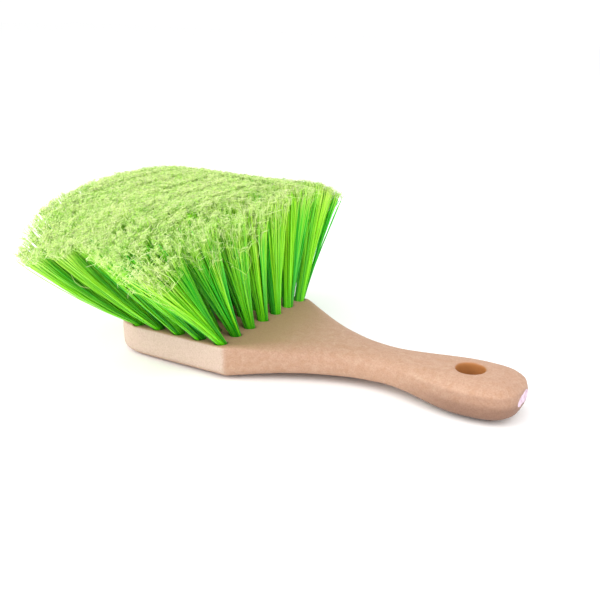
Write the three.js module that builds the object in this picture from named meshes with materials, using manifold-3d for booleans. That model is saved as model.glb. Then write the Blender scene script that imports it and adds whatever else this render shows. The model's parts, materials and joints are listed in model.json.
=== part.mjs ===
// Short-handled wheel brush. One foam-moulded plastic piece is both the block and the handle.
// Its top is filled with a field of tufts that fan out like a hand, and each tuft is folded over
// a flat wire anchor at the bottom of its own drilled hole.
//
// Millimetres, +Z up. The head's back is flat, and the handle's bulb reaches a little below it.
// The origin is on the back, under the middle of the tuft field, and +X points along the handle.

import * as THREE from "three";
import { mergeVertices } from "three/addons/utils/BufferGeometryUtils.js";
import Module from "manifold-3d";

// ---- Driving dimensions ----

const BLOCK = {
  top: 16.3, // thickness of the head
  halfWidth: 41.1,
  toeX: -35.2,
  heelX: 34.8, // where the straight sides end and the shoulders begin
  heelBlend: 2, // how far before that the section starts to turn into the handle's oval
  toePower: 5, // superellipse power of the toe, seen from above
  lowerEdge: 5, // radius of the head's lower edge
  upperEdge: 1.6, // radius of the head's upper edge
};
const NECK = { x: 103.5, halfWidth: 11.9, top: 14.1, bottom: 0.2 };
const BULB = { x: 143.5, halfWidth: 18.7, top: 15.2, bottom: -3.6 };
const HANDLE = {
  endX: 167,
  power: 2.9, // superellipse power of the cross-section
  ovalFrom: 0.8, // share of the run from head to neck after which the section is a full oval
  edgeShare: 0.46, // share of the thickness that each rounded edge takes
  steepest: 83, // degrees at which an edge's rounding meets the flat
};
// How far the handles of the outline's Bezier curves reach, as shares of the curve's run or width.
const PULL = { shoulderOut: 0.06, shoulderIn: 0.04, neck: 0.38, bulb: 0.34, end: 0.95, tip: 0.62 };
const GATE_TRIM = 0.5; // depth of the flat where the moulding gate is cut off
const HANG_HOLE = { x: 141.9, radius: 6.5, lip: 1.5 };

const FIELD = { rows: 6, columns: 7, pitchX: 12.5, pitchY: 12.3 };
const TOE_ROW_TRIM = 1; // tufts left out at each end of the toe row, for the rounded corners
const TUFT = {
  length: 70, // from the block's top to the tips
  rootRadius: 2.4,
  tipFill: 0.475, // half of the share of its cell that a tuft fills at the tips
  tipPower: 4, // superellipse power of the tip's outline
  cornerSpread: 1, // how much further it reaches at the tips where a corner is left out
  sides: 12,
  dish: 5, // how much shorter the middle of the heel row is trimmed
};
// Degrees that a tuft leans away from upright: to the side, and towards the toe.
const LEAN = { side: 39.3, sidePower: 1.4, heelRow: 11, toeRow: 17, toePower: 0.5 };

const HOLE = {
  radius: 2.85,
  depth: 12,
  leanShare: 0.7, // a hole leans less than its tuft, which bends at the mouth
  sides: 14,
  overshoot: 3, // how far above the top the drill starts
};
const ANCHOR = { length: 5, height: 2, thickness: 0.5, slotGap: 0.35, aboveRoot: 1.6 };
const ROOT_GAP = 0.5; // between a tuft's fold and the bottom of its hole

const BLOCK_COLOUR = 0xd3a88a;
const BRISTLE_COLOUR = 0x6ccb10;
const ANCHOR_COLOUR = 0xb9bcc0;

// ---- Resolution of the curved stretches ----

const TOE_STEPS = 14;
const SIDE_STEPS = 3;
const SHOULDER_STEPS = 16;
const HANDLE_STEPS = 9;
const END_STEPS = 10;
const EDGE_STEPS = 4;
const HOLE_SIDES = 28;
const LIP_STEPS = 3;
const GROWTH_STEPS = [0, 0.1, 0.4, 0.7, 1];
const CUT_PAST = 2; // how far a cutting tool reaches past the surface that it cuts

const wasm = await Module();
wasm.setup();

// ---- Solids ----

function toSolid(geometry) {
  const bare = geometry.clone();
  bare.deleteAttribute("normal");
  bare.deleteAttribute("uv");
  const merged = mergeVertices(bare, 1e-4);
  return new wasm.Manifold(
    new wasm.Mesh({
      numProp: 3,
      vertProperties: new Float32Array(merged.attributes.position.array),
      triVerts: new Uint32Array(merged.index.array),
    }),
  );
}

function toGeometry(solid) {
  const mesh = solid.getMesh();
  const geometry = new THREE.BufferGeometry();
  geometry.setAttribute("position", new THREE.BufferAttribute(mesh.vertProperties, 3));
  geometry.setIndex(new THREE.BufferAttribute(mesh.triVerts, 1));
  geometry.computeVertexNormals();
  return geometry;
}

// A closed body from rings of equal count, each running anticlockwise seen from its far end.
// The cap function gives the triangles of one end as indices into the ring.
function loft(rings, cap) {
  const count = rings[0].length;
  const points = rings.flat();
  const faces = [];
  for (let r = 0; r + 1 < rings.length; r++) {
    for (let k = 0; k < count; k++) {
      const a = r * count + k;
      const b = r * count + ((k + 1) % count);
      faces.push(a, b, b + count, a, b + count, a + count);
    }
  }
  const last = (rings.length - 1) * count;
  for (const [a, b, c] of cap(count)) {
    faces.push(c, b, a);
    faces.push(last + a, last + b, last + c);
  }
  const geometry = new THREE.BufferGeometry().setFromPoints(points);
  geometry.setIndex(faces);
  return geometry;
}

// Cap of a round ring, fanned from its first point.
function fanCap(count) {
  return Array.from({ length: count - 2 }, (_, k) => [0, k + 1, k + 2]);
}

// Cap of a ring that is symmetric about Y = 0 and starts and ends on that line: rungs across it.
function ladderCap(count) {
  const faces = [];
  const half = count / 2;
  for (let k = 0; k < half; k++) {
    const left = (count - k) % count;
    const nextLeft = count - k - 1;
    if (k > 0) faces.push([left, k, nextLeft]);
    if (k + 1 < half) faces.push([k, k + 1, nextLeft]);
  }
  return faces;
}

// ---- Block and handle ----

const { lerp, smoothstep, degToRad } = THREE.MathUtils;

// Half of the outline seen from above, from the middle of the toe to the end of the handle.
// Each point comes with the direction in which the edge rounds inwards, and how far it may go.
function halfOutline() {
  const outline = [];
  const add = (point, inward, room) => outline.push({ point, inward, room });
  const across = new THREE.Vector2(0, -1);

  for (let k = 0; k <= TOE_STEPS; k++) {
    const angle = (k / TOE_STEPS) * (Math.PI / 2);
    const power = 2 / BLOCK.toePower;
    const along = Math.cos(angle) ** power;
    const aside = Math.sin(angle) ** power;
    const point = new THREE.Vector2(BLOCK.toeX * along, BLOCK.halfWidth * aside);
    const inward = new THREE.Vector2(
      along ** (BLOCK.toePower - 1) / -BLOCK.toeX,
      -(aside ** (BLOCK.toePower - 1)) / BLOCK.halfWidth,
    );
    add(point, inward.normalize(), BLOCK.halfWidth);
  }
  for (let k = 1; k <= SIDE_STEPS; k++) {
    const x = lerp(0, BLOCK.heelX, k / SIDE_STEPS);
    add(new THREE.Vector2(x, BLOCK.halfWidth), across, BLOCK.halfWidth);
  }
  for (const point of shoulderCurve().getPoints(SHOULDER_STEPS).slice(1)) {
    add(point, across, point.y);
  }
  for (const point of bulbCurve().getPoints(HANDLE_STEPS).slice(1)) {
    add(point, across, point.y);
  }
  const middle = new THREE.Vector2(BULB.x, 0);
  for (const point of endCurve().getPoints(END_STEPS).slice(1)) {
    const inward = middle.clone().sub(point);
    add(point, inward.clone().normalize(), inward.length());
  }
  return outline;
}

function shoulderCurve() {
  const run = NECK.x - BLOCK.heelX;
  return new THREE.CubicBezierCurve(
    new THREE.Vector2(BLOCK.heelX, BLOCK.halfWidth),
    new THREE.Vector2(
      BLOCK.heelX + PULL.shoulderOut * run,
      BLOCK.halfWidth - PULL.shoulderIn * run,
    ),
    new THREE.Vector2(NECK.x - PULL.neck * run, NECK.halfWidth),
    new THREE.Vector2(NECK.x, NECK.halfWidth),
  );
}

function bulbCurve() {
  const pull = PULL.bulb * (BULB.x - NECK.x);
  return new THREE.CubicBezierCurve(
    new THREE.Vector2(NECK.x, NECK.halfWidth),
    new THREE.Vector2(NECK.x + pull, NECK.halfWidth),
    new THREE.Vector2(BULB.x - pull, BULB.halfWidth),
    new THREE.Vector2(BULB.x, BULB.halfWidth),
  );
}

function endCurve() {
  const run = HANDLE.endX - BULB.x;
  return new THREE.CubicBezierCurve(
    new THREE.Vector2(BULB.x, BULB.halfWidth),
    new THREE.Vector2(BULB.x + PULL.end * run, BULB.halfWidth),
    new THREE.Vector2(HANDLE.endX, PULL.tip * BULB.halfWidth),
    new THREE.Vector2(HANDLE.endX, 0),
  );
}

// Heights of the top and the bottom at x, and how far the section has become a handle's oval.
function profileAt(x) {
  const toNeck = smoothstep(x, BLOCK.heelX, NECK.x);
  const toBulb = smoothstep(x, NECK.x, BULB.x);
  const fullOval = lerp(BLOCK.heelX, NECK.x, HANDLE.ovalFrom);
  return {
    top: lerp(lerp(BLOCK.top, NECK.top, toNeck), BULB.top, toBulb),
    bottom: lerp(lerp(0, NECK.bottom, toNeck), BULB.bottom, toBulb),
    oval: smoothstep(x, BLOCK.heelX - BLOCK.heelBlend, fullOval),
  };
}

// One ring of the block. Step 0 is the flat end of an edge's rounding and EDGE_STEPS the wall.
function blockRing(outline, side, step) {
  const steepest = degToRad(HANDLE.steepest);
  const half = outline.map(({ point, inward, room }) => {
    const { top, bottom, oval } = profileAt(point.x);
    const power = 2 / lerp(2, HANDLE.power, oval);
    const angle = steepest * (1 - step / EDGE_STEPS);
    const climb = (Math.sin(angle) / Math.sin(steepest)) ** power;
    const edge = side === "lower" ? BLOCK.lowerEdge : BLOCK.upperEdge;
    const inset = lerp(edge, room, oval) * (1 - Math.cos(angle) ** power);
    const height = lerp(edge, HANDLE.edgeShare * (top - bottom), oval);
    const rise = height * (1 - climb);
    const flat = point.clone().addScaledVector(inward, inset);
    const z = side === "lower" ? bottom + rise : top - rise;
    return new THREE.Vector3(flat.x, flat.y, z);
  });
  const near = half.map((p) => new THREE.Vector3(p.x, -p.y, p.z));
  const far = half.slice(1, -1).reverse();
  return [...near, ...far];
}

function blockBody() {
  const outline = halfOutline();
  const rings = [];
  for (let step = 0; step <= EDGE_STEPS; step++) rings.push(blockRing(outline, "lower", step));
  for (let step = EDGE_STEPS; step >= 0; step--) rings.push(blockRing(outline, "upper", step));
  return toSolid(loft(rings, ladderCap));
}

// The tool that cuts the hang hole, with its rounded lips.
function hangHoleTool() {
  const { radius, lip } = HANG_HOLE;
  const lower = [];
  const upper = [];
  for (let k = 0; k <= LIP_STEPS; k++) {
    const angle = (k / LIP_STEPS) * (Math.PI / 2);
    const r = radius + lip * (1 - Math.sin(angle));
    const drop = lip * (1 - Math.cos(angle));
    lower.push(new THREE.Vector2(r, BULB.bottom + drop));
    upper.unshift(new THREE.Vector2(r, BULB.top - drop));
  }
  const profile = [
    new THREE.Vector2(0, BULB.bottom - CUT_PAST),
    new THREE.Vector2(radius + lip, BULB.bottom - CUT_PAST),
    ...lower,
    ...upper,
    new THREE.Vector2(radius + lip, BULB.top + CUT_PAST),
    new THREE.Vector2(0, BULB.top + CUT_PAST),
  ];
  const geometry = new THREE.LatheGeometry(profile, HOLE_SIDES);
  geometry.rotateX(Math.PI / 2);
  geometry.translate(HANG_HOLE.x, 0, 0);
  return toSolid(geometry);
}

function gateTrimTool() {
  const size = 2 * (BULB.halfWidth + CUT_PAST);
  const geometry = new THREE.BoxGeometry(size, size, size);
  geometry.translate(HANDLE.endX - GATE_TRIM + size / 2, 0, BULB.top / 2);
  return toSolid(geometry);
}

// ---- Tuft field ----

// Rows run from the heel (0) to the toe, and columns from -Y to +Y. Both may be fractions.
function rootPoint(row, column) {
  return new THREE.Vector3(
    ((FIELD.rows - 1) / 2 - row) * FIELD.pitchX,
    (column - (FIELD.columns - 1) / 2) * FIELD.pitchY,
    BLOCK.top,
  );
}

function sideShare(column) {
  return (2 * column) / (FIELD.columns - 1) - 1;
}

function toeShare(row) {
  return row / (FIELD.rows - 1);
}

// The direction in which the filaments at this place of the field point.
function leanDirection(row, column, share = 1) {
  const across = sideShare(column);
  const along = Math.max(toeShare(row), 0);
  const side = LEAN.side * Math.sign(across) * Math.abs(across) ** LEAN.sidePower;
  const toe = lerp(LEAN.heelRow, LEAN.toeRow, along ** LEAN.toePower);
  return new THREE.Vector3(
    -Math.tan(degToRad(toe * share)),
    Math.tan(degToRad(side * share)),
    1,
  ).normalize();
}

// Whether a place of the field has no tuft because the toe's corner is rounded off there.
function isLeftOut(row, column) {
  const fromSide = Math.min(column, FIELD.columns - 1 - column);
  return row === FIELD.rows - 1 && fromSide >= 0 && fromSide < TOE_ROW_TRIM;
}

function trimLength(row, column) {
  const middle = 1 - sideShare(column) ** 2;
  return TUFT.length - TUFT.dish * middle * (1 - toeShare(row));
}

function tuftPlaces() {
  const places = [];
  for (let row = 0; row < FIELD.rows; row++) {
    for (let column = 0; column < FIELD.columns; column++) {
      if (isLeftOut(row, column)) continue;
      places.push({ row, column, name: `r${row + 1}_c${column + 1}` });
    }
  }
  return places;
}

// Turns a shape that is modelled along +Z, with its origin at the mouth, into its drilled hole.
function intoHole(geometry, { row, column }) {
  const up = new THREE.Vector3(0, 0, 1);
  const turn = new THREE.Quaternion().setFromUnitVectors(
    up,
    leanDirection(row, column, HOLE.leanShare),
  );
  geometry.applyQuaternion(turn);
  const mouth = rootPoint(row, column);
  return geometry.translate(mouth.x, mouth.y, mouth.z);
}

function holeTool(place) {
  const length = HOLE.depth + HOLE.overshoot;
  const drill = new THREE.CylinderGeometry(HOLE.radius, HOLE.radius, length, HOLE.sides);
  drill.rotateX(Math.PI / 2);
  drill.translate(0, 0, length / 2 - HOLE.depth);
  return toSolid(intoHole(drill, place));
}

function rootDepth() {
  return HOLE.depth - ROOT_GAP;
}

// The bottom ring of a tuft, square to its hole.
function foldRing({ row, column }) {
  const ring = [];
  for (let k = 0; k < TUFT.sides; k++) {
    const angle = (k / TUFT.sides) * 2 * Math.PI;
    const x = TUFT.rootRadius * Math.cos(angle);
    const y = TUFT.rootRadius * Math.sin(angle);
    ring.push(new THREE.Vector3(x, y, -rootDepth()));
  }
  const flat = new THREE.BufferGeometry().setFromPoints(ring);
  const placed = intoHole(flat, { row, column }).attributes.position;
  return ring.map((_, k) => new THREE.Vector3().fromBufferAttribute(placed, k));
}

// A ring at a share of the way from the block's top to the tips. Its points follow the lean of
// the field at their own place, so neighbouring tufts spread together and never cross. The two
// tufts beside a left-out corner each spread over their own half of it.
function fannedRing({ row, column }, share) {
  const fillX = lerp(TUFT.rootRadius / FIELD.pitchX, TUFT.tipFill, share);
  const fillY = lerp(TUFT.rootRadius / FIELD.pitchY, TUFT.tipFill, share);
  const power = 2 / lerp(2, TUFT.tipPower, share);
  const reach = share * trimLength(row, column);
  const outerSide = Math.sign(sideShare(column));
  const ring = [];
  for (let k = 0; k < TUFT.sides; k++) {
    const angle = (k / TUFT.sides) * 2 * Math.PI;
    let toe = -Math.sign(Math.cos(angle)) * Math.abs(Math.cos(angle)) ** power;
    let side = Math.sign(Math.sin(angle)) * Math.abs(Math.sin(angle)) ** power;
    const spread = TUFT.cornerSpread * share;
    if (toe > 0 && isLeftOut(row + 1, column)) toe *= 1 + spread * (1 - Math.abs(side));
    if (side * outerSide > 0 && isLeftOut(row, column + outerSide)) side *= 1 + spread * (1 - Math.abs(toe));
    const r = row + fillX * toe;
    const c = column + fillY * side;
    ring.push(rootPoint(r, c).addScaledVector(leanDirection(r, c), reach));
  }
  return ring;
}

// A flat bar that lies across the hole inside the fold: the anchor, or with a gap round it, the
// slot that the anchor lies in.
function anchorBox(place, length, gap) {
  const thickness = ANCHOR.thickness + 2 * gap;
  const box = new THREE.BoxGeometry(thickness, length, ANCHOR.height + 2 * gap);
  box.translate(0, 0, -rootDepth() + ANCHOR.aboveRoot + ANCHOR.height / 2);
  return intoHole(box, place);
}

function tuftBody(place) {
  const rings = [foldRing(place), ...GROWTH_STEPS.map((share) => fannedRing(place, share))];
  const throughTuft = 2 * (TUFT.rootRadius + CUT_PAST);
  const slot = toSolid(anchorBox(place, throughTuft, ANCHOR.slotGap));
  return toSolid(loft(rings, fanCap)).subtract(slot);
}

// ---- Assembly ----

function finish(colour, roughness, metalness) {
  return new THREE.MeshStandardMaterial({ color: colour, roughness, metalness });
}

function named(name, geometry, material) {
  const mesh = new THREE.Mesh(geometry, material);
  mesh.name = name;
  return mesh;
}

const places = tuftPlaces();
// Every second place of the field shows its anchor as a part of its own.
const anchored = places.filter(({ row, column }) => (row + column) % 2 === 1);

let block = blockBody().subtract(hangHoleTool()).subtract(gateTrimTool());
for (const place of places) block = block.subtract(holeTool(place));

const group = new THREE.Group();
group.add(named("block_with_handle", toGeometry(block), finish(BLOCK_COLOUR, 0.75, 0)));
for (const place of places) {
  const tuft = toGeometry(tuftBody(place));
  group.add(named(`tuft_${place.name}`, tuft, finish(BRISTLE_COLOUR, 0.5, 0)));
}
for (const place of anchored) {
  const anchor = anchorBox(place, ANCHOR.length, 0);
  group.add(named(`anchor_${place.name}`, anchor, finish(ANCHOR_COLOUR, 0.35, 1)));
}

export default group;
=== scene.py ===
import json
import math

import bpy
import numpy as np
from mathutils import Matrix, Vector, noise


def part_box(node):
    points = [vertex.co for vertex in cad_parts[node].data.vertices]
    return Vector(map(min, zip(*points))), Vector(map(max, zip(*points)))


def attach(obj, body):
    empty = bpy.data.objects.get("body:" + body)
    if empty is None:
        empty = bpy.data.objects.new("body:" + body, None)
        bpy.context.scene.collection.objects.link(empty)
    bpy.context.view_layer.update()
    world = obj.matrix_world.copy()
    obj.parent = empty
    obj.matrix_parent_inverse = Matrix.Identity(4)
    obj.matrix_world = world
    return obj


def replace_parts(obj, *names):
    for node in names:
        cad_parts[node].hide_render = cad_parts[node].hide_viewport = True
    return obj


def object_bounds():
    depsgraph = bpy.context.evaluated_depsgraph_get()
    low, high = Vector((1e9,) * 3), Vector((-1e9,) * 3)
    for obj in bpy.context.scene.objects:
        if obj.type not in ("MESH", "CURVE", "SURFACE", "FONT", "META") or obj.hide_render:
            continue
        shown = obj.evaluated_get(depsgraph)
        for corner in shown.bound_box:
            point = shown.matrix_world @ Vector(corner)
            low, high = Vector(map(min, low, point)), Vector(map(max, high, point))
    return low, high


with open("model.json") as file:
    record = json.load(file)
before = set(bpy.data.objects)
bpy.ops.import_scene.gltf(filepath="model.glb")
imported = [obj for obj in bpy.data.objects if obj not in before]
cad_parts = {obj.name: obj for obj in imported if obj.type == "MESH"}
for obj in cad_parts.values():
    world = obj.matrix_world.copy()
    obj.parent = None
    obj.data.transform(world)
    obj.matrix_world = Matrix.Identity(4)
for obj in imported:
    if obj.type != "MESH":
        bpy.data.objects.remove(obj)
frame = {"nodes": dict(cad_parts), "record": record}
cad_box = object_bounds()

MM = 0.001
BLOCK_NODE = "block_with_handle"
HEAD_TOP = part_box(BLOCK_NODE)[1].z

# ---- Driving values ----

# The view: angles in degrees, lengths in metres. The lens is in millimetres on a 36 mm sensor.
VIEW = {
    "azimuth": 30.2,
    "elevation": 19.3,
    "roll": 0.5,
    "distance": 0.5,
    "lens": 49.6,
    "aim": Vector((0.009, 0.0758, 0)),
}

FLOOR_REACH = 4.0
FLOOR_GAP = 0.3 * MM  # between the floor and the toe's lower edge
DAYLIGHT = 1.05  # strength of the white light from all round
LIGHTS = (
    {"name": "key", "azimuth": -40, "elevation": 32, "distance": 1.2, "size": 0.8, "power": 10.0},
    {"name": "fill", "azimuth": 65, "elevation": 40, "distance": 1.2, "size": 0.8, "power": 6.0},
)

FOAM = {
    "voxel": 0.67 * MM,
    "smoothing": 9,
    "pebble": 1.6 * MM,  # width of one pebble of the skin
    "pebble_height": 0.05 * MM,
    "ripple": 9 * MM,  # width of the shallow sink marks
    "ripple_height": 0.12 * MM,
    "mottle": 3 * MM,  # width of the patches of colour
    "grain": 0.7 * MM,  # width of the specks
    "grain_height": 0.06 * MM,
    "gate_cut": 0.12 * MM,  # how near the handle's end the skin is sheared off
}

ROWS = 6  # of tufts, counted from the heel to the toe

LIMBS = 260  # half filaments in a tuft, before those that would cross the anchor are left out
LIMB_RADIUS = 0.175 * MM
LIMB_SWELL = 0.3  # how much thicker a limb is once it has left the hole
LIMB_TAPER = 0.6  # how much thinner it is at the tip, where it has split
LIMB_STATIONS = (0, 0.12, 0.3, 0.5, 0.68, 0.8, 0.9, 0.98)  # as shares of its length above the mouth
MIDDLE_GAP = 0.04  # how near the anchor's plane a limb may be, as a share of the bundle's radius
RIM_CROWDING = 0.46  # 0.5 spreads the limbs evenly over a bundle, and less crowds them to its rim
BUNDLE_SWELL = 1.14  # how much wider than its CAD solid a tuft is at the mouth of its hole
FIBRE_RADIUS = 0.11 * MM
FIBRES_PER_LIMB = 5
FIBRE_STATIONS = 5
FIBRE_START = (-0.02, 0.04)  # where fibres leave their limb, from where it splits
FIBRE_SPREAD = (0.6, 2.6)  # how far they bend away, in millimetres, and more where they are worn
FIBRE_END = (0.995, 0.006)  # mean and scatter of where they end, as a share of the limb's length
FIBRE_WAVES = (0.5, 1.5)
FIBRE_TAPER = 0.35
STRAY_RADIUS = 0.15 * MM
STRAY_STATIONS = 15
STRAYS = 2  # stray hairs in an unworn tuft
WORN_STRAYS = 9  # how many more a fully worn one has
STRAY_START = (0.45, 0.8)
STRAY_SPREAD = (6, 16)  # in millimetres
TUBE_SIDES = 3
SPLIT_TINT = 0.8  # place on the filament's colour ramp at which it splits
SPLIT_FROM = 0.93  # share of a tuft's length from which its filaments split and curl
SPLIT_SCATTER = 0.04
WORN_SPLIT = 0.16  # how much earlier the most worn filaments split
WORN_SHORT = 0.38  # how much of their length the most worn filaments have lost
TIP_SPREAD = 1.03  # how much wider than its CAD solid a tuft is at the tips
SAG = 8 * MM  # how far level filaments at the toe would sink half way along
UNSPLIT = 0.06  # share of the filaments whose ends have stayed whole and green
WHOLE_TINT = 0.7  # how far along the colour ramp those get
MATTED_SHORT = 0.035  # how far the tuft's one matted strand ends below the rest, as a share of length
CLUMPS = 17  # strands that a tuft's filaments cling together in
MATTED_STRANDS = (2, CLUMPS - 4)  # the strands, from the middle out, of which one is matted
CLING = 0.28  # how far they are drawn together half way up
DROOP = np.array((8, -1, -5)) * MM  # how far the tips of the most worn tuft have sagged
UPRIGHT = np.array((0, 10, 7)) * MM  # how far the near side's middle tufts stand up from their fan
PINCH = 0.22  # how much narrower than a straight-sided fan a tuft stays half way up

# How much the limbs of a tuft differ. Pairs are the lowest and highest value.
VARIETY = {
    "radius": 0.08,  # scatter of the tips, as a share of the tuft's radius
    "radius_limit": 1.05,
    "angle": 0.1,  # scatter of the tips round the tuft, in radians
    "tips": 0.8,  # mean of their further scatter, in millimetres
    "tips_limit": 2.5,
    "shade": 0.22,
    "fade": (0.6, 1.7),  # above 1, a limb stays dark for longer
    "worn_fade": 0.4,  # how much sooner the most worn limbs turn pale
    "sway": (0.1, 0.5),  # in millimetres
    "waves": (0.8, 2.2),  # from the mouth to the tip
    "curl": (0, 2),  # in millimetres
}

# Which tufts are worn or stand upright. Rows and columns need not be whole numbers here.
WORN = {"row": 1, "column": 2.8, "row_fall": 3, "column_fall": 0.7, "reach": 3.0}
WORN_IN_TUFT = (0.3, 0.9)  # wear at a tuft's middle, and how much more at its heel side
STANDING = {"row": 2.8, "rows": 2.2, "by_column": {1: 1, 2: 0.35}}
GOLDEN_ANGLE = math.pi * (3 - math.sqrt(5))

# Places and sizes of the CAD part that its bounds don't give.
HEEL_X = 34.8 * MM  # where the head's straight sides end
NECK_X = 103.5 * MM
BULB_X = 143.5 * MM
HANG_HOLE_RADIUS = 6.5 * MM
TOE_ROUNDING = 5 * MM  # radius of the head's lower edge
ANCHOR = {"length": 5 * MM, "height": 2 * MM, "thickness": 0.5 * MM, "above_fold": 1.6 * MM}
INNERMOST_FOLD = 0.15  # how far below the anchor the inmost filament folds, as a share of the room
FOLD_SPAN = 0.8  # how much further the outmost one does
ANCHOR_STATIONS = 13
ANCHOR_BEVEL = 0.09 * MM
ANCHOR_DENT = 0.12  # depth of the driver's dent, as a share of the anchor's height
ANCHOR_BURR = 0.12 * MM  # how far the cut ends are drawn up from below
ANCHOR_CRUSH = 0.1 * MM  # how far they are pressed down from above
ANCHOR_THINNING = 0.35  # how much thinner they are
ANCHOR_BOW = 0.06 * MM

# Colours are linear RGB.
TAN = (0.46, 0.275, 0.185)
WALL_PAINTED_LIGHT = (0.58, 0.43, 0.35)  # the moulded wall round the head, made lighter: painted light
SHOULDER_PAINTED_SHADE = (0.395, 0.245, 0.14)  # the shoulders near the tufts, made darker: painted shade from the tufts
UNDERSIDE_PAINTED_SHADE = (0.24, 0.13, 0.085)  # the underside of the bulb, made darker: painted shade
HOLE_BROWN = (0.42, 0.17, 0.05)
FLOOR_WHITE = (0.95, 0.95, 0.95)


# ---- Meshes from arrays ----


def mesh_from(name, points, quads, triangles):
    """A mesh of quads and triangles, given as arrays of point indices."""
    mesh = bpy.data.meshes.new(name)
    corners = np.concatenate([quads.ravel(), triangles.ravel()])
    sizes = np.concatenate([np.full(len(quads), 4), np.full(len(triangles), 3)])
    mesh.vertices.add(len(points))
    mesh.vertices.foreach_set("co", points.astype(np.float32).ravel())
    mesh.loops.add(len(corners))
    mesh.loops.foreach_set("vertex_index", corners.astype(np.int32))
    mesh.polygons.add(len(sizes))
    mesh.polygons.foreach_set("loop_start", (np.cumsum(sizes) - sizes).astype(np.int32))
    mesh.polygons.foreach_set("use_smooth", np.ones(len(sizes), bool))
    mesh.update(calc_edges=True)
    mesh.validate()
    return mesh


def new_object(name, mesh, material):
    piece = bpy.data.objects.new(name, mesh)
    bpy.context.scene.collection.objects.link(piece)
    mesh.materials.clear()
    mesh.materials.append(material)
    return piece


def point_values(node):
    """A CAD node's corner points, each once."""
    points = np.array([v.co for v in node.data.vertices], float)
    return np.unique(points.round(7), axis=0)


# ---- Shader helpers ----


def new_material(name):
    material = bpy.data.materials.new(name)
    material.use_nodes = True
    return material, material.node_tree, material.node_tree.nodes["Principled BSDF"]


def add_node(tree, kind, **settings):
    node = tree.nodes.new(kind)
    for key, value in settings.items():
        setattr(node, key, value)
    return node


def ramp(tree, factor, stops):
    """A colour ramp driven by a socket. Stops are (position, linear RGB)."""
    node = tree.nodes.new("ShaderNodeValToRGB")
    elements = node.color_ramp.elements
    while len(elements) < len(stops):
        elements.new(0.5)
    for element, (position, colour) in zip(elements, stops):
        element.position = position
        element.color = (*colour, 1)
    tree.links.new(factor, node.inputs["Fac"])
    return node.outputs["Color"]


def noise_value(tree, vector, width, detail=3.0, distortion=0.0):
    """Noise whose features are about this wide, in metres."""
    node = tree.nodes.new("ShaderNodeTexNoise")
    node.inputs["Scale"].default_value = 1 / width
    node.inputs["Detail"].default_value = detail
    node.inputs["Distortion"].default_value = distortion
    tree.links.new(vector, node.inputs["Vector"])
    return node.outputs["Fac"]


def feed(tree, socket, value):
    """Links another node's output to a socket, or sets the socket to a fixed value."""
    if isinstance(value, bpy.types.NodeSocket):
        tree.links.new(value, socket)
    else:
        socket.default_value = value


def mix_colour(tree, factor, first, second, blend="MIX"):
    node = add_node(tree, "ShaderNodeMix", data_type="RGBA", blend_type=blend)
    feed(tree, node.inputs[0], factor)
    feed(tree, node.inputs[6], first)
    feed(tree, node.inputs[7], second)
    return node.outputs[2]


def calculate(tree, operation, first, second=0.0):
    node = add_node(tree, "ShaderNodeMath", operation=operation)
    feed(tree, node.inputs[0], first)
    feed(tree, node.inputs[1], second)
    return node.outputs[0]


def span(tree, value, start, end):
    """A number that goes from 0 where the value is start to 1 where it is end."""
    node = add_node(tree, "ShaderNodeMapRange", interpolation_type="SMOOTHSTEP")
    low, high = min(start, end), max(start, end)
    node.inputs["From Min"].default_value = low
    node.inputs["From Max"].default_value = high
    node.inputs["To Min"].default_value = 0 if start < end else 1
    node.inputs["To Max"].default_value = 1 if start < end else 0
    tree.links.new(value, node.inputs["Value"])
    return node.outputs["Result"]


def split_axes(tree, vector):
    """The X, Y and Z outputs of a vector socket."""
    node = tree.nodes.new("ShaderNodeSeparateXYZ")
    tree.links.new(vector, node.inputs[0])
    return node.outputs


def vary_roughness(tree, shader, value, smoothest, roughest):
    """Roughness that follows a noise value from 0 to 1."""
    node = tree.nodes.new("ShaderNodeMapRange")
    node.inputs["To Min"].default_value = smoothest
    node.inputs["To Max"].default_value = roughest
    tree.links.new(value, node.inputs["Value"])
    tree.links.new(node.outputs["Result"], shader.inputs["Roughness"])


# ---- Materials ----


def foam_material():
    """Tan structural foam: mottled and pebbled, browner in the hang hole, pale at the gate's cut."""
    material, tree, shader = new_material("foam_plastic")
    place = tree.nodes.new("ShaderNodeTexCoord").outputs["Object"]
    mottle = noise_value(tree, place, FOAM["mottle"], 4, 0.8)
    grain = noise_value(tree, place, FOAM["grain"], 2, 0.4)
    colour = ramp(
        tree,
        mottle,
        [(0.25, (0.43, 0.245, 0.15)), (0.5, TAN), (0.75, (0.50, 0.32, 0.22))],
    )
    # Painted light on the head's walls, painted shade near the tufts and under the bulb.
    colour = painted_light_and_shade(tree, place, colour)
    speckle = ramp(tree, grain, [(0.35, (0.91, 0.89, 0.87)), (0.5, (1, 1, 1)), (0.68, (1.06, 1.08, 1.12))])
    colour = mix_colour(tree, 1.0, colour, speckle, "MULTIPLY")
    colour = mix_colour(tree, inside_hang_hole(tree, place), colour, (*HOLE_BROWN, 1))
    gate_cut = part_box(BLOCK_NODE)[1].x - FOAM["gate_cut"]
    at_gate = calculate(tree, "GREATER_THAN", split_axes(tree, place)["X"], gate_cut)
    sheared = ramp(tree, mottle, [(0.35, (0.50, 0.35, 0.44)), (0.65, (0.78, 0.62, 0.74))])
    colour = mix_colour(tree, at_gate, colour, sheared)

    tree.links.new(colour, shader.inputs["Base Color"])
    vary_roughness(tree, shader, grain, 0.48, 0.66)
    shader.inputs["Specular IOR Level"].default_value = 0.35
    bump = tree.nodes.new("ShaderNodeBump")
    bump.inputs["Strength"].default_value = 0.35
    bump.inputs["Distance"].default_value = FOAM["grain_height"]
    tree.links.new(grain, bump.inputs["Height"])
    tree.links.new(bump.outputs["Normal"], shader.inputs["Normal"])
    return material


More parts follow.
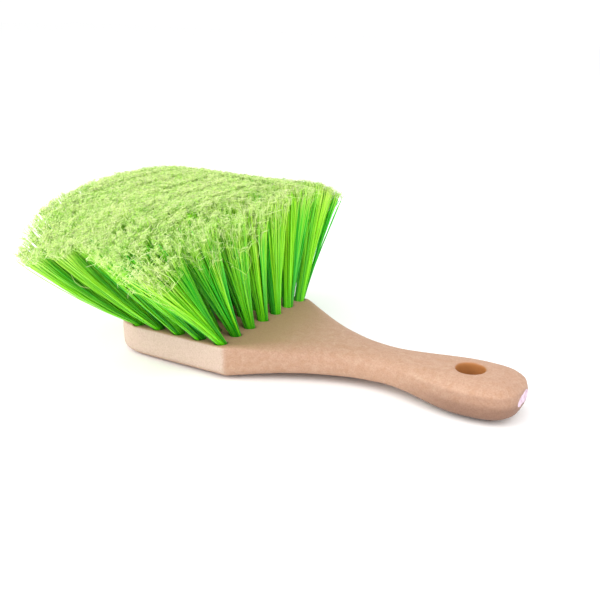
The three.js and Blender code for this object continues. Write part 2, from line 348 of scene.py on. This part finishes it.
def painted_light_and_shade(tree, place, colour):
    """The foam's colour with painted light on the head's walls and painted shade on the shoulders near the
    tufts and under the bulb.
    """
    x = split_axes(tree, place)["X"]
    facing_up = split_axes(tree, tree.nodes.new("ShaderNodeNewGeometry").outputs["Normal"])["Z"]
    # The head's walls made lighter: painted light.
    head = span(tree, x, HEEL_X + 2 * MM, HEEL_X - 1 * MM)
    wall = span(tree, calculate(tree, "ABSOLUTE", facing_up), 0.85, 0.35)
    # Upward faces near the tufts made darker: painted shade from the tufts.
    near = span(tree, x, HEEL_X + 40 * MM, HEEL_X)
    upward = span(tree, facing_up, 0.3, 0.9)
    # The bulb's downward faces made darker: painted shade.
    bulb = span(tree, x, NECK_X, BULB_X)
    under = span(tree, facing_up, 0.6, -0.3)
    for along, across, tint in ((head, wall, WALL_PAINTED_LIGHT), (near, upward, SHOULDER_PAINTED_SHADE), (bulb, under, UNDERSIDE_PAINTED_SHADE)):
        colour = mix_colour(tree, calculate(tree, "MULTIPLY", along, across), colour, (*tint, 1))
    return colour


def inside_hang_hole(tree, place):
    """1 on the wall of the hang hole and 0 elsewhere, with a short change over at the lips."""
    low, high = frame["record"]["physics"]["openings"][0]["box_m"]
    distance = add_node(tree, "ShaderNodeVectorMath", operation="DISTANCE")
    flat = add_node(tree, "ShaderNodeVectorMath", operation="MULTIPLY")
    flat.inputs[1].default_value = (1, 1, 0)
    tree.links.new(place, flat.inputs[0])
    tree.links.new(flat.outputs["Vector"], distance.inputs[0])
    distance.inputs[1].default_value = ((low[0] + high[0]) / 2, (low[1] + high[1]) / 2, 0)
    outside = HANG_HOLE_RADIUS + 0.7 * MM
    inside = HANG_HOLE_RADIUS + 0.1 * MM
    return span(tree, distance.outputs["Value"], outside, inside)


def filament_material():
    """Translucent green filament, darker towards the root, painted shade where it is packed, and pale
    where it is split.
    """
    material, tree, shader = new_material("green_filament")
    along = add_node(tree, "ShaderNodeAttribute", attribute_name="along").outputs["Fac"]
    shade = add_node(tree, "ShaderNodeAttribute", attribute_name="shade").outputs["Fac"]
    # A lit and a shaded copy of one colour ramp, mixed by each strand's shade: painted light and painted
    # shade for strands in light and in shadow.
    light = ramp(
        tree,
        along,
        [
            (0.0, (0.16, 0.84, 0.0)),
            (0.25, (0.30, 0.94, 0.002)),
            (0.6, (0.44, 0.96, 0.015)),
            (0.82, (0.62, 0.96, 0.12)),
            (1.0, (0.97, 1.0, 0.60)),
        ],
    )
    shaded_ramp = ramp(
        tree,
        along,
        [
            (0.0, (0.0, 0.30, 0.0)),
            (0.3, (0.0, 0.50, 0.006)),
            (0.65, (0.03, 0.66, 0.0)),
            (0.84, (0.44, 0.90, 0.05)),
            (1.0, (0.93, 1.0, 0.53)),
        ],
    )
    tree.links.new(mix_colour(tree, shade, shaded_ramp, light), shader.inputs["Base Color"])
    shader.inputs["Roughness"].default_value = 0.36
    shader.inputs["Specular IOR Level"].default_value = 0.5
    return material


def wire_material():
    """Galvanised flat wire, with streaks along it and dull patches."""
    material, tree, shader = new_material("galvanised_wire")
    place = tree.nodes.new("ShaderNodeTexCoord").outputs["Object"]
    patches = noise_value(tree, place, 0.8 * MM, 4)
    colour = ramp(tree, patches, [(0.3, (0.36, 0.37, 0.39)), (0.7, (0.66, 0.67, 0.70))])
    tree.links.new(colour, shader.inputs["Base Color"])
    shader.inputs["Metallic"].default_value = 1
    vary_roughness(tree, shader, patches, 0.28, 0.55)
    return material


# ---- Block and handle ----


def apply_modifiers(piece):
    """Gives the piece the mesh that its modifiers make, and removes them."""
    depsgraph = bpy.context.evaluated_depsgraph_get()
    mesh = bpy.data.meshes.new_from_object(piece.evaluated_get(depsgraph))
    piece.modifiers.clear()
    old = piece.data
    piece.data = mesh
    bpy.data.meshes.remove(old)


def foam_block(material):
    """The CAD block with a smooth, finely pebbled skin."""
    cad = frame["nodes"][BLOCK_NODE]
    piece = new_object("foam_block", cad.data.copy(), material)
    weld = piece.modifiers.new("weld", "WELD")
    weld.merge_threshold = 0.001 * MM
    remesh = piece.modifiers.new("remesh", "REMESH")
    remesh.mode = "VOXEL"
    remesh.voxel_size = FOAM["voxel"]
    smooth = piece.modifiers.new("smooth", "SMOOTH")
    smooth.factor = 0.5
    smooth.iterations = FOAM["smoothing"]
    apply_modifiers(piece)
    pebble(piece.data)
    piece.data.shade_smooth()
    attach(piece, "root")
    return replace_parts(piece, BLOCK_NODE)


def pebble(mesh):
    """Moves each point along its normal: small pebbles over wide, shallow sink marks."""
    points = read_vectors(mesh.vertices, "co")
    normals = read_vectors(mesh.vertex_normals, "vector")
    small = [noise.noise(Vector(p)) for p in points / FOAM["pebble"]]
    wide = [noise.noise(Vector(p)) for p in points / FOAM["ripple"]]
    lift = np.array(small) * FOAM["pebble_height"] + np.array(wide) * FOAM["ripple_height"]
    points += normals * lift[:, None]
    mesh.vertices.foreach_set("co", points.astype(np.float32).ravel())
    mesh.update()


def read_vectors(items, name):
    values = np.empty(len(items) * 3, np.float32)
    items.foreach_get(name, values)
    return values.reshape(-1, 3).astype(float)


# ---- Tufts ----


def ring_in_order(points):
    """A ring's points by angle about its middle, starting at the one nearest to +X."""
    middle = points.mean(0)
    angle = np.arctan2(points[:, 1] - middle[1], points[:, 0] - middle[0])
    return points[np.argsort((angle + math.pi / len(points)) % (2 * math.pi))]


def tuft_shape(node):
    """The mouth and tip rings of a tuft's CAD solid, and the frame of its hole."""
    close = 0.01 * MM
    near_tips = 0.85  # the tip ring lies past this share of the solid's reach above the mouth
    near_fold = 0.99
    points = point_values(node)
    height = points[:, 2] - HEAD_TOP
    mouth = points[np.abs(height) < close]
    reach = np.linalg.norm(points - mouth.mean(0), axis=1)
    above = height > close
    below = height < -close
    tips = points[above & (reach > near_tips * reach[above].max())]
    fold = points[below & (reach > near_fold * reach[below].max())]
    axis = Vector(mouth.mean(0) - fold.mean(0))
    turn = Vector((0, 0, 1)).rotation_difference(axis).to_matrix()
    return {
        "mouth": ring_in_order(mouth),
        "tips": ring_in_order(tips),
        "depth": axis.length,
        "turn": np.array(turn),
    }


def on_ring(ring, radius, angle):
    """Places in a ring, at shares of the way from its middle to its edge."""
    place = (angle / (2 * math.pi) * len(ring)) % len(ring)
    index = place.astype(int) % len(ring)
    share = (place - np.floor(place))[:, None]
    edge = ring[index] * (1 - share) + ring[(index + 1) % len(ring)] * share
    return ring.mean(0) + radius[:, None] * (edge - ring.mean(0))


def bundle_places():
    """Even places in a disc of radius 1, each with its mirror image: the two limbs of a filament."""
    index = np.arange(LIMBS)
    radius = ((index + 0.5) / LIMBS) ** RIM_CROWDING
    angle = index * GOLDEN_ANGLE
    spots = np.column_stack([radius * np.cos(angle), radius * np.sin(angle)])
    spots = spots[spots[:, 0] > MIDDLE_GAP]
    return np.concatenate([spots, spots * (-1, 1)])


def unit(vectors):
    return vectors / np.linalg.norm(vectors, axis=-1, keepdims=True)


def random_across(rng, heading):
    """Unit vectors at random round the headings and square to them."""
    return unit(np.cross(heading, rng.normal(size=heading.shape)))


def make_limbs(shape, sag, wear, lift, rng):
    """Everything that fixes the course of each limb of a tuft."""
    spots = bundle_places()
    count = len(spots)
    radius = np.hypot(spots[:, 0], spots[:, 1])
    angle = np.arctan2(spots[:, 1], spots[:, 0])
    mouth = on_ring(shape["mouth"], radius * BUNDLE_SWELL, angle)
    scattered = radius + rng.normal(0, VARIETY["radius"], count)
    spread = TIP_SPREAD * np.clip(scattered, 0, VARIETY["radius_limit"])
    tips = on_ring(shape["tips"], spread, angle + rng.normal(0, VARIETY["angle"], count))
    at_middle, towards_heel = WORN_IN_TUFT
    wear = wear * np.clip(at_middle + towards_heel * spots[:, 0], 0, 1)
    tips += wear[:, None] * DROOP + lift
    heading = unit(tips - mouth)
    sideways = random_across(rng, heading)
    astray = np.minimum(rng.exponential(VARIETY["tips"], (count, 1)), VARIETY["tips_limit"])
    tips += sideways * astray * MM
    strand = strands_of(spots, rng)
    # Each strand's shade picks between the lit and the shaded colour ramp: painted light and painted
    # shade.
    shade = rng.uniform(0, 1, CLUMPS)[strand] + rng.normal(0, VARIETY["shade"], count)
    matted = strand == rng.integers(*MATTED_STRANDS)
    return {
        "spots": spots,
        "mouth": mouth,
        "tips": tips,
        "heading": heading,
        "fan": (tips - shape["tips"].mean(0)) - (mouth - shape["mouth"].mean(0)),
        "sink": sag * (1 - heading[:, 2] ** 2)[:, None] * (0, 0, -1),
        "whole": matted | (rng.uniform(0, 1, count) < UNSPLIT),
        "length": 1 - WORN_SHORT * wear * rng.uniform(0, 1, count) ** 1.5 - MATTED_SHORT * matted,
        "cling": way_together(strand, mouth, tips),
        "shade": np.clip(shade, 0, 1),
        "fade": rng.uniform(*VARIETY["fade"], count) * (1 - VARIETY["worn_fade"] * wear),
        "sway": random_across(rng, heading) * rng.uniform(*VARIETY["sway"], (count, 1)) * MM,
        "waves": rng.uniform(*VARIETY["waves"], count),
        "phase": rng.uniform(0, 2 * math.pi, count),
        "curl": random_across(rng, heading)
        * ((1 + wear) * rng.uniform(*VARIETY["curl"], count))[:, None]
        * MM,
        "split": rng.uniform(SPLIT_FROM - WORN_SPLIT * wear, SPLIT_FROM + SPLIT_SCATTER, count),
    }


def strands_of(spots, rng):
    """The strand that each limb of a tuft clings to."""
    index = np.arange(CLUMPS)
    angle = index * GOLDEN_ANGLE + rng.uniform(0, 2 * math.pi)
    radius = np.sqrt((index + 0.5) / CLUMPS)
    middles = np.column_stack([radius * np.cos(angle), radius * np.sin(angle)])
    return np.linalg.norm(spots[:, None] - middles, axis=2).argmin(1)


def way_together(strand, mouth, tips):
    """How far and which way each limb is drawn to the middle of its strand."""
    halfway = (mouth + tips) / 2
    together = np.array([halfway[strand == own].mean(0) for own in strand])
    return CLING * (together - halfway)


def above_mouth(limbs, share):
    """Points of the limbs at shares (one row for each limb) of the way from the mouth to the tips."""
    s = (share * limbs["length"][:, None])[:, :, None]
    straight = limbs["mouth"][:, None] * (1 - s) + limbs["tips"][:, None] * s
    pinch = -PINCH * s * (1 - s) * limbs["fan"][:, None]
    cling = np.sin(math.pi * s**0.8) * limbs["cling"][:, None]
    sink = 4 * s * (1 - s) * limbs["sink"][:, None]
    wave = np.sin(limbs["waves"][:, None] * 2 * math.pi * share + limbs["phase"][:, None])
    sway = (wave * share)[:, :, None] * limbs["sway"][:, None]
    loose = past_split(limbs, share)[:, :, None] ** 1.5
    return straight + pinch + cling + sink + sway + loose * limbs["curl"][:, None]


def past_split(limbs, share):
    """How far a place is from where the limb splits (0) towards its tip (1)."""
    split = limbs["split"][:, None]
    return np.clip((share - split) / (1 - split), 0, 1)


def in_hole(limbs, shape):
    """Points of the limbs from the bottom of the fold, round the anchor, towards the mouth."""
    clear = ANCHOR["thickness"] / 2 + LIMB_RADIUS
    bundle = np.linalg.norm(shape["mouth"][0] - shape["mouth"].mean(0)) - LIMB_RADIUS
    side = np.sign(limbs["spots"][:, 0])
    out = np.abs(limbs["spots"][:, 0])
    x = side * (clear + out * (bundle - clear))
    y = limbs["spots"][:, 1] * bundle
    drop = (INNERMOST_FOLD + FOLD_SPAN * out) * (ANCHOR["above_fold"] - LIMB_RADIUS)
    centre = ANCHOR["above_fold"] - shape["depth"]
    stations = []
    for turned in (0, math.pi / 4, math.pi / 2):
        z = centre - drop * math.cos(turned)
        stations.append(np.column_stack([x * math.sin(turned), y, z]))
    past_anchor = centre + ANCHOR["height"]
    stations.append(np.column_stack([x, y, np.full(len(x), past_anchor)]))
    local = np.stack(stations, axis=1)
    return shape["mouth"].mean(0) + local @ shape["turn"].T


def tubes(paths, radii):
    """Closed tubes round paths of equal point counts: their points, quads and end faces."""
    skew = (0.36, -0.48, 0.8)  # a direction that no filament runs along
    count, stations = paths.shape[:2]
    tangent = unit(np.gradient(paths, axis=1))
    across = unit(np.cross(tangent, skew))
    other = np.cross(tangent, across)
    corner = np.arange(TUBE_SIDES) * 2 * math.pi / TUBE_SIDES
    rim = np.cos(corner)[:, None] * across[:, :, None] + np.sin(corner)[:, None] * other[:, :, None]
    points = paths[:, :, None] + radii[:, :, None, None] * rim
    index = np.arange(count * stations * TUBE_SIDES).reshape(count, stations, TUBE_SIDES)
    following = np.roll(index, -1, axis=2)
    walls = [index[:, :-1], following[:, :-1], following[:, 1:], index[:, 1:]]
    ends = np.concatenate([index[:, 0, ::-1], index[:, -1]])
    return points.reshape(-1, 3), np.stack(walls, axis=-1).reshape(-1, 4), ends


def join_parts(parts):
    """One set of points and faces from several."""
    points, quads, ends, start = [], [], [], 0
    for part_points, part_quads, part_ends in parts:
        points.append(part_points)
        quads.append(part_quads + start)
        ends.append(part_ends + start)
        start += len(part_points)
    return np.concatenate(points), np.concatenate(quads), np.concatenate(ends)


def limb_tubes(limbs, shape):
    """The limbs from the fold to the tips. Returns the tubes and the tint of each station."""
    share = np.tile(LIMB_STATIONS, (len(limbs["spots"]), 1))
    below = in_hole(limbs, shape)
    rooted = np.zeros(below.shape[:2])
    paths = np.concatenate([below, above_mouth(limbs, share)], axis=1)
    thin = np.concatenate([rooted, past_split(limbs, share)], axis=1)
    thin[limbs["whole"]] = 0
    grown = SPLIT_TINT * np.minimum(share / limbs["split"][:, None], 1) ** limbs["fade"][:, None]
    grown += (1 - SPLIT_TINT) * past_split(limbs, share)
    grown[limbs["whole"]] *= WHOLE_TINT
    tint = np.concatenate([rooted, grown], axis=1)
    swollen = np.clip(3 * np.concatenate([rooted, share], axis=1), 0, 1)  # fully, a third of the way up
    radii = LIMB_RADIUS * (1 + LIMB_SWELL * swollen) * (1 - LIMB_TAPER * thin)
    return tubes(paths, radii), tint


def fibre_tubes(limbs, rng, owner, start, spread, stations, radius):
    """Fine fibres that leave their owner limbs, wave, and bend over to the side at the tips.

    Their stations are closer together towards the tips, where they bend the most.
    """
    count = len(owner)
    own = {key: value[owner] for key, value in limbs.items()}
    steps = np.linspace(0, 1, stations)
    end = rng.normal(*FIBRE_END, count)
    share = start[:, None] + (end - start)[:, None] * (1 - (1 - steps) ** 1.8)
    away = random_across(rng, own["heading"])[:, None]
    side = np.cross(own["heading"], away[:, 0])[:, None]
    turns = rng.uniform(*FIBRE_WAVES, (count, 1)) * 2 * math.pi * steps
    reach = spread[:, None, None]
    paths = above_mouth(own, share)
    paths += reach * (steps**1.7)[:, None] * away
    paths += reach * 0.5 * np.sin(turns)[:, :, None] * side
    paths -= reach * (0.2 * steps**3)[:, None] * own["heading"][:, None]
    radii = np.full(share.shape, radius) * (1 - FIBRE_TAPER * steps)
    pale = rng.uniform(0, 1, (count, 1))
    return tubes(paths, radii), SPLIT_TINT + (1 - SPLIT_TINT) * (0.5 * steps + 0.5 * pale)


def filament_bundle(node, material):
    """One tuft as separate filaments, folded over the anchor, with split and curling ends."""
    row, column = (int(part[1:]) for part in node.name.split("_")[1:])  # as in tuft_r2_c5
    rng = np.random.default_rng(100 * row + column)
    shape = tuft_shape(node)
    wear = worn(row, column)
    sag = SAG * (row - 1) / (ROWS - 1)
    limbs = make_limbs(shape, sag, wear, upright(row, column), rng)

    every = np.arange(len(limbs["spots"]))
    split = every[~limbs["whole"]].repeat(FIBRES_PER_LIMB)
    stray = rng.choice(every, STRAYS + round(WORN_STRAYS * wear))
    start = limbs["split"][split] + rng.uniform(*FIBRE_START, len(split))
    least, most = FIBRE_SPREAD
    spread = rng.uniform(least, most + wear, len(split)) * MM
    stray_start = rng.uniform(*STRAY_START, len(stray))
    stray_spread = rng.uniform(*STRAY_SPREAD, len(stray)) * MM
    tube_sets = [
        (every, *limb_tubes(limbs, shape)),
        (split, *fibre_tubes(limbs, rng, split, start, spread, FIBRE_STATIONS, FIBRE_RADIUS)),
        (stray, *fibre_tubes(limbs, rng, stray, stray_start, stray_spread, STRAY_STATIONS, STRAY_RADIUS)),
    ]
    points, quads, ends = join_parts([tube for _, tube, _ in tube_sets])
    along = np.concatenate([share.ravel() for _, _, share in tube_sets])
    owner = np.concatenate([limb.repeat(share.shape[1]) for limb, _, share in tube_sets])
    mesh = mesh_from(f"bundle_{node.name}", points, quads, ends)
    add_values(mesh, "along", along.repeat(TUBE_SIDES))
    add_values(mesh, "shade", limbs["shade"][owner].repeat(TUBE_SIDES))
    piece = new_object(f"filaments_r{row}_c{column}", mesh, material)
    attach(piece, "root")
    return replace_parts(piece, node.name)


def worn(row, column):
    """How worn a tuft is: the heel corner on the -Y side has seen the most use."""
    along = WORN["row_fall"] * (row - WORN["row"])
    across = WORN["column_fall"] * (column - WORN["column"])
    return max(0, 1 - math.hypot(along, across) / WORN["reach"])


def upright(row, column):
    """How far a tuft's tips have come up: the near side's middle tufts lean out less."""
    from_side = STANDING["by_column"].get(column, 0)
    from_middle = max(0, 1 - abs(row - STANDING["row"]) / STANDING["rows"])
    return UPRIGHT * from_side * from_middle


def add_values(mesh, name, values):
    attribute = mesh.attributes.new(name, "FLOAT", "POINT")
    attribute.data.foreach_set("value", values.astype(np.float32))


# ---- Anchors ----


def anchor_outline(s):
    """The anchor's section at s, from -1 at one end to 1 at the other, as a list of (x, z)."""
    end = abs(s) ** 8
    top = ANCHOR["height"] * (1 - ANCHOR_DENT * (1 - s * s)) - ANCHOR_CRUSH * end
    low = ANCHOR_BURR * end
    thick = ANCHOR["thickness"] / 2 * (1 - ANCHOR_THINNING * end)
    bow = ANCHOR_BOW * (s * s - 0.5)
    right = [
        (thick - ANCHOR_BEVEL, low),
        (thick, low + ANCHOR_BEVEL),
        (thick, top - ANCHOR_BEVEL),
        (thick - ANCHOR_BEVEL, top),
    ]
    left = [(-x, z) for x, z in reversed(right)]
    return [(x + bow, z) for x, z in right + left]


def anchor_faces(index):
    """Quads for the walls between an anchor's rings of 8 points, and for its two ends."""
    following = np.roll(index, -1, axis=1)
    walls = np.stack([index[:-1], index[1:], following[1:], following[:-1]], axis=-1).reshape(-1, 4)
    first, last = index[0], index[-1]
    caps = []
    for k in range(3):
        caps.append([first[k], first[k + 1], first[6 - k], first[7 - k]])
        caps.append([last[k + 1], last[k], last[7 - k], last[6 - k]])
    return np.concatenate([walls, caps])


def anchor_piece(tuft, material):
    """The flat wire anchor of a tuft, its upper edge dented by the driver and its ends burred."""
    row_column = tuft.name.removeprefix("tuft_")
    shape = tuft_shape(tuft)
    half_length = ANCHOR["length"] / 2
    stations = np.linspace(-1, 1, ANCHOR_STATIONS)
    local = np.array([[(x, s * half_length, z) for x, z in anchor_outline(s)] for s in stations])
    local[:, :, 2] += ANCHOR["above_fold"] - shape["depth"]
    points = shape["mouth"].mean(0) + local.reshape(-1, 3) @ shape["turn"].T
    faces = anchor_faces(np.arange(len(points)).reshape(ANCHOR_STATIONS, -1))
    mesh = mesh_from(f"anchor_{row_column}", points, faces, np.empty((0, 3), int))
    piece = new_object(f"wire_{row_column}", mesh, material)
    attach(piece, "root")
    if f"anchor_{row_column}" in frame["nodes"]:
        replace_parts(piece, f"anchor_{row_column}")
    return piece


# ---- Studio ----


def studio_floor():
    """A plain pale floor on which the brush stands: on its toe's lower edge and on the bulb."""
    low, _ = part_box(BLOCK_NODE)
    toe = Vector((low.x + TOE_ROUNDING, 0, 0))
    tilt = math.atan2(toe.z - low.z, BULB_X - toe.x)
    mesh = bpy.data.meshes.new("floor")
    corners = [(x * FLOOR_REACH, y * FLOOR_REACH, 0) for x, y in ((-1, -1), (1, -1), (1, 1), (-1, 1))]
    mesh.from_pydata(corners, [], [(0, 1, 2, 3)])
    material, _, shader = new_material("white_floor")
    shader.inputs["Base Color"].default_value = (*FLOOR_WHITE, 1)
    shader.inputs["Roughness"].default_value = 0.9
    shader.inputs["Specular IOR Level"].default_value = 0
    floor = new_object("studio_floor", mesh, material)
    floor.location = toe - Vector((0, 0, FLOOR_GAP))
    floor.rotation_euler.y = tilt


def area_light(name, azimuth, elevation, distance, size, power):
    """A soft square light that faces the middle of the object."""
    data = bpy.data.lights.new(name, "AREA")
    data.size = size
    data.energy = power
    light = bpy.data.objects.new(name, data)
    bpy.context.scene.collection.objects.link(light)
    middle = (cad_box[0] + cad_box[1]) / 2
    toward = direction(azimuth, elevation)
    light.location = middle + toward * distance
    light.rotation_euler = toward.to_track_quat("Z", "Y").to_euler()


def direction(azimuth, elevation):
    """Unit vector from the object to a place at these angles. Azimuth 0 is on the -Y side."""
    a, e = math.radians(azimuth), math.radians(elevation)
    return Vector((math.sin(a) * math.cos(e), -math.cos(a) * math.cos(e), math.sin(e)))


def studio_light():
    world = bpy.data.worlds.new("studio")
    world.use_nodes = True
    background = world.node_tree.nodes["Background"]
    background.inputs["Color"].default_value = (1, 1, 1, 1)
    background.inputs["Strength"].default_value = DAYLIGHT
    bpy.context.scene.world = world
    for light in LIGHTS:
        area_light(**light)
    bpy.context.scene.view_settings.view_transform = "Standard"


def studio_camera():
    """The camera at the viewing angle, turned a little about its own axis."""
    data = bpy.data.cameras.new("camera")
    data.lens = VIEW["lens"]
    data.clip_start = 0.01
    camera = bpy.data.objects.new("camera", data)
    bpy.context.scene.collection.objects.link(camera)
    back = direction(VIEW["azimuth"], VIEW["elevation"])
    azimuth = math.radians(VIEW["azimuth"])
    right = Vector((math.cos(azimuth), math.sin(azimuth), 0))
    level = Matrix((right, back.cross(right), back)).transposed()
    roll = Matrix.Rotation(math.radians(VIEW["roll"]), 3, "Z")
    placed = (level @ roll).to_4x4()
    placed.translation = VIEW["aim"] + back * VIEW["distance"]
    camera.matrix_world = placed
    bpy.context.scene.camera = camera


# ---- Scene ----

studio_camera()
studio_light()
studio_floor()

foam_block(foam_material())
filament = filament_material()
wire = wire_material()
for tuft in [node for name, node in sorted(frame["nodes"].items()) if name.startswith("tuft_")]:
    filament_bundle(tuft, filament)
    anchor_piece(tuft, wire)
